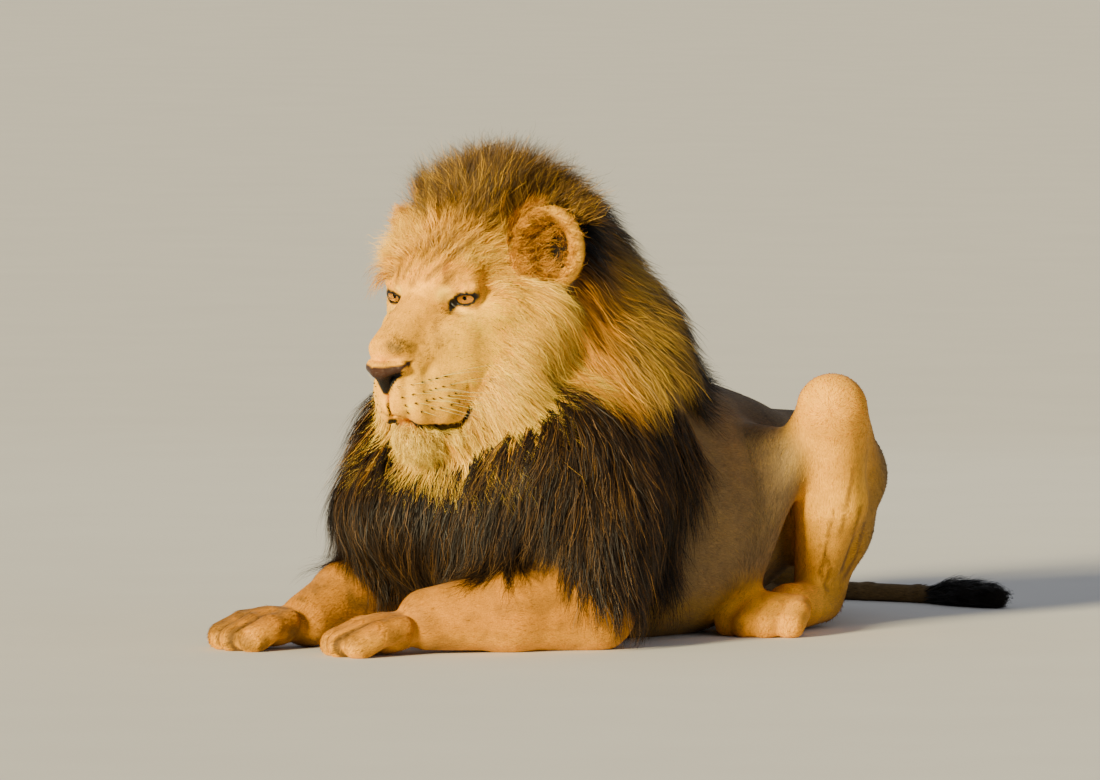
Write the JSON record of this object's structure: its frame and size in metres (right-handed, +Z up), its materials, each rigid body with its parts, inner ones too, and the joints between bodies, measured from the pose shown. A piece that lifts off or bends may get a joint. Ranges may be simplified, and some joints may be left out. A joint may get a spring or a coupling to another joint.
{
  "type": "lying male lion",
  "caption": "Life-size male lion with a dark mane, lying on its belly with head raised, forelegs stretched ahead, hind feet flat beside the belly and tail curled behind.",
  "frame": {"origin": "on the floor, under the middle of the lying animal's bounding box, tail included", "axes": "+X towards the lion's own left, +Y towards its tail (it faces -Y), +Z up"},
  "size_m": [0.768, 1.6063, 0.8255],
  "materials": {
    "coat_head": "animal hair coat",
    "coat_jaw": "animal hair coat",
    "nose_skin": "moist dark skin",
    "eye": "wet amber eye",
    "coat_ear": "animal hair coat",
    "mane_hair": "animal hair coat",
    "mane_dark": "animal hair coat",
    "coat_body": "animal hair coat",
    "coat_leg": "animal hair coat",
    "coat_tail": "animal hair coat"
  },
  "bodies": {
    "root": {"head": "coat_head", "lower_jaw": "coat_jaw", "nose": "nose_skin", "eye_left": "eye", "eye_right": "eye", "ear_left": "coat_ear", "ear_right": "coat_ear", "mane": "mane_hair", "chest_mane": "mane_dark", "trunk": "coat_body", "rump": "coat_body", "foreleg_left": "coat_leg", "foreleg_right": "coat_leg", "fore_paw_left": "coat_leg", "fore_paw_right": "coat_leg", "thigh_left": "coat_body", "thigh_right": "coat_body", "shank_left": "coat_leg", "shank_right": "coat_leg", "hind_foot_left": "coat_leg", "hind_foot_right": "coat_leg", "tail_base": "coat_tail", "tail_end": "coat_tail", "tail_tuft": "mane_dark"}
  },
  "joints": []
}
